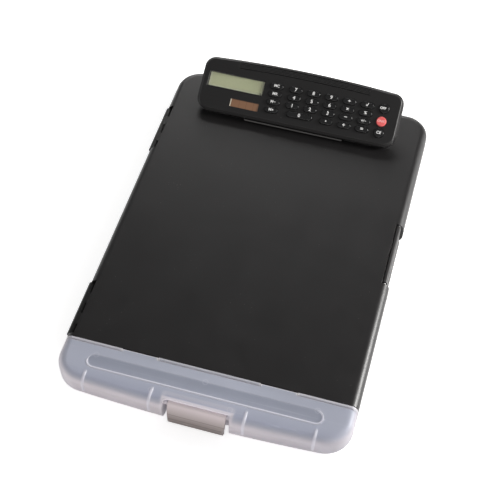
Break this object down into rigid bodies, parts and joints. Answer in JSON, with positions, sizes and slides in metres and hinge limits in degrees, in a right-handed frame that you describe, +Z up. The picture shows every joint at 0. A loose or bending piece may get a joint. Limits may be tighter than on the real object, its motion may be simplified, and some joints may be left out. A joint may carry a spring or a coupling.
{
  "type": "storage clipboard box",
  "caption": "Flat storage case with a hinged writing board as its lid, a translucent pen compartment with a snap latch, and a paper clip worked by a sloping calculator.",
  "frame": {"origin": "centre of the flat underside of the closed case", "axes": "+X across to the side with the latch, +Y along the board towards the calculator, +Z up"},
  "size_m": [0.2416, 0.3559, 0.0579],
  "materials": {
    "board_plastic": "fine leather-like moulded grain, matt",
    "translucent_plastic": "frosted translucent polypropylene",
    "latch_plastic": "smoky grey satin",
    "pin_steel": "bright drawn wire",
    "clip_steel": "plated pressed sheet",
    "pad_rubber": "matt",
    "calculator_plastic": "fine spark grain with a polished edge",
    "key_rubber": "satin with white print",
    "red_key_rubber": "satin with white print",
    "window_clear": "clear polished acrylic",
    "display_panel": "grey green liquid crystal panel",
    "solar_glass": "brown amorphous silicon under glass",
    "circuit_laminate": "green solder mask",
    "membrane_rubber": "matt silicone",
    "contact_metal": "plated spring strip",
    "cell_steel": "nickel-plated can"
  },
  "bodies": {
    "root": {"base_tray": "board_plastic", "pen_tray": "translucent_plastic", "pen_tray_rivets": "pin_steel", "main_hinge_pins": "pin_steel", "pen_hinge_pins": "pin_steel"},
    "board": {"board_lid": "board_plastic", "side_latch_pin": "pin_steel", "clip_bracket": "clip_steel", "clip_rivets": "clip_steel", "clip_axle": "pin_steel", "clip_spring": "pin_steel"},
    "side_latch": {"side_latch": "board_plastic"},
    "pen_lid": {"pen_lid": "translucent_plastic", "pen_latch_pin": "pin_steel"},
    "pen_latch": {"pen_latch": "latch_plastic"},
    "calculator": {"clip_jaw": "clip_steel", "jaw_pad": "pad_rubber", "jaw_screws": "pin_steel", "calculator_front_shell": "calculator_plastic", "calculator_rear_shell": "calculator_plastic", "calculator_screws": "pin_steel", "display_window": "window_clear", "display_panel": "display_panel", "display_connector": "pad_rubber", "solar_cell": "solar_glass", "keypad_membrane": "membrane_rubber", "circuit_board": "circuit_laminate", "button_cell": "cell_steel", "battery_contacts": "contact_metal", "battery_cover": "calculator_plastic"},
    "key_7": {"key_7": "key_rubber"},
    "key_8": {"key_8": "key_rubber"},
    "key_9": {"key_9": "key_rubber"},
    "key_divide": {"key_divide": "key_rubber"},
    "key_root": {"key_root": "key_rubber"},
    "key_4": {"key_4": "key_rubber"},
    "key_5": {"key_5": "key_rubber"},
    "key_6": {"key_6": "key_rubber"},
    "key_multiply": {"key_multiply": "key_rubber"},
    "key_percent": {"key_percent": "key_rubber"},
    "key_1": {"key_1": "key_rubber"},
    "key_2": {"key_2": "key_rubber"},
    "key_3": {"key_3": "key_rubber"},
    "key_minus": {"key_minus": "key_rubber"},
    "key_sign": {"key_sign": "key_rubber"},
    "key_point": {"key_point": "key_rubber"},
    "key_plus": {"key_plus": "key_rubber"},
    "key_equals": {"key_equals": "key_rubber"},
    "key_0": {"key_0": "key_rubber"},
    "key_memory_clear": {"key_memory_clear": "key_rubber"},
    "key_memory_recall": {"key_memory_recall": "key_rubber"},
    "key_memory_minus": {"key_memory_minus": "key_rubber"},
    "key_memory_plus": {"key_memory_plus": "key_rubber"},
    "key_off": {"key_off": "key_rubber"},
    "key_on": {"key_on": "red_key_rubber"},
    "key_clear_entry": {"key_clear_entry": "key_rubber"}
  },
  "joints": [
    {"name": "board_hinge", "type": "hinge", "parent": "root", "child": "board", "pos_m": [-0.1184, 0, 0.019], "axis": [0, -1, 0], "range_deg": [0, 120]},
    {"name": "side_latch_pivot", "type": "hinge", "parent": "board", "child": "side_latch", "pos_m": [0.1154, 0.014, 0.0236], "axis": [0, -1, 0], "range_deg": [0, 50]},
    {"name": "pen_lid_hinge", "type": "hinge", "parent": "root", "child": "pen_lid", "pos_m": [0, -0.1384, 0.0244], "axis": [-1, 0, 0], "range_deg": [0, 90]},
    {"name": "pen_latch_pivot", "type": "hinge", "parent": "pen_lid", "child": "pen_latch", "pos_m": [0, -0.1698, 0.0202], "axis": [-1, 0, 0], "range_deg": [0, 60]},
    {"name": "clip_lever", "type": "hinge", "parent": "board", "child": "calculator", "pos_m": [0, 0.1487, 0.0312], "axis": [-1, 0, 0], "range_deg": [0, 20], "stiffness_Nm_per_rad": 0.6, "springref_deg": -28.65},
    {"name": "key_7_press", "type": "slide", "parent": "calculator", "child": "key_7", "axis": [0, 0.4924, -0.8704], "range_m": [0, 0.0007], "stiffness_N_per_m": 500},
    {"name": "key_8_press", "type": "slide", "parent": "calculator", "child": "key_8", "axis": [0, 0.4924, -0.8704], "range_m": [0, 0.0007], "stiffness_N_per_m": 500},
    {"name": "key_9_press", "type": "slide", "parent": "calculator", "child": "key_9", "axis": [0, 0.4924, -0.8704], "range_m": [0, 0.0007], "stiffness_N_per_m": 500},
    {"name": "key_divide_press", "type": "slide", "parent": "calculator", "child": "key_divide", "axis": [0, 0.4924, -0.8704], "range_m": [0, 0.0007], "stiffness_N_per_m": 500},
    {"name": "key_root_press", "type": "slide", "parent": "calculator", "child": "key_root", "axis": [0, 0.4924, -0.8704], "range_m": [0, 0.0007], "stiffness_N_per_m": 500},
    {"name": "key_4_press", "type": "slide", "parent": "calculator", "child": "key_4", "axis": [0, 0.4924, -0.8704], "range_m": [0, 0.0007], "stiffness_N_per_m": 500},
    {"name": "key_5_press", "type": "slide", "parent": "calculator", "child": "key_5", "axis": [0, 0.4924, -0.8704], "range_m": [0, 0.0007], "stiffness_N_per_m": 500},
    {"name": "key_6_press", "type": "slide", "parent": "calculator", "child": "key_6", "axis": [0, 0.4924, -0.8704], "range_m": [0, 0.0007], "stiffness_N_per_m": 500},
    {"name": "key_multiply_press", "type": "slide", "parent": "calculator", "child": "key_multiply", "axis": [0, 0.4924, -0.8704], "range_m": [0, 0.0007], "stiffness_N_per_m": 500},
    {"name": "key_percent_press", "type": "slide", "parent": "calculator", "child": "key_percent", "axis": [0, 0.4924, -0.8704], "range_m": [0, 0.0007], "stiffness_N_per_m": 500},
    {"name": "key_1_press", "type": "slide", "parent": "calculator", "child": "key_1", "axis": [0, 0.4924, -0.8704], "range_m": [0, 0.0007], "stiffness_N_per_m": 500},
    {"name": "key_2_press", "type": "slide", "parent": "calculator", "child": "key_2", "axis": [0, 0.4924, -0.8704], "range_m": [0, 0.0007], "stiffness_N_per_m": 500},
    {"name": "key_3_press", "type": "slide", "parent": "calculator", "child": "key_3", "axis": [0, 0.4924, -0.8704], "range_m": [0, 0.0007], "stiffness_N_per_m": 500},
    {"name": "key_minus_press", "type": "slide", "parent": "calculator", "child": "key_minus", "axis": [0, 0.4924, -0.8704], "range_m": [0, 0.0007], "stiffness_N_per_m": 500},
    {"name": "key_sign_press", "type": "slide", "parent": "calculator", "child": "key_sign", "axis": [0, 0.4924, -0.8704], "range_m": [0, 0.0007], "stiffness_N_per_m": 500},
    {"name": "key_point_press", "type": "slide", "parent": "calculator", "child": "key_point", "axis": [0, 0.4924, -0.8704], "range_m": [0, 0.0007], "stiffness_N_per_m": 500},
    {"name": "key_plus_press", "type": "slide", "parent": "calculator", "child": "key_plus", "axis": [0, 0.4924, -0.8704], "range_m": [0, 0.0007], "stiffness_N_per_m": 500},
    {"name": "key_equals_press", "type": "slide", "parent": "calculator", "child": "key_equals", "axis": [0, 0.4924, -0.8704], "range_m": [0, 0.0007], "stiffness_N_per_m": 500},
    {"name": "key_0_press", "type": "slide", "parent": "calculator", "child": "key_0", "axis": [0, 0.4924, -0.8704], "range_m": [0, 0.0007], "stiffness_N_per_m": 500},
    {"name": "key_memory_clear_press", "type": "slide", "parent": "calculator", "child": "key_memory_clear", "axis": [0, 0.4924, -0.8704], "range_m": [0, 0.0007], "stiffness_N_per_m": 500},
    {"name": "key_memory_recall_press", "type": "slide", "parent": "calculator", "child": "key_memory_recall", "axis": [0, 0.4924, -0.8704], "range_m": [0, 0.0007], "stiffness_N_per_m": 500},
    {"name": "key_memory_minus_press", "type": "slide", "parent": "calculator", "child": "key_memory_minus", "axis": [0, 0.4924, -0.8704], "range_m": [0, 0.0007], "stiffness_N_per_m": 500},
    {"name": "key_memory_plus_press", "type": "slide", "parent": "calculator", "child": "key_memory_plus", "axis": [0, 0.4924, -0.8704], "range_m": [0, 0.0007], "stiffness_N_per_m": 500},
    {"name": "key_off_press", "type": "slide", "parent": "calculator", "child": "key_off", "axis": [0, 0.4924, -0.8704], "range_m": [0, 0.0007], "stiffness_N_per_m": 500},
    {"name": "key_on_press", "type": "slide", "parent": "calculator", "child": "key_on", "axis": [0, 0.4924, -0.8704], "range_m": [0, 0.0007], "stiffness_N_per_m": 500},
    {"name": "key_clear_entry_press", "type": "slide", "parent": "calculator", "child": "key_clear_entry", "axis": [0, 0.4924, -0.8704], "range_m": [0, 0.0007], "stiffness_N_per_m": 500}
  ]
}
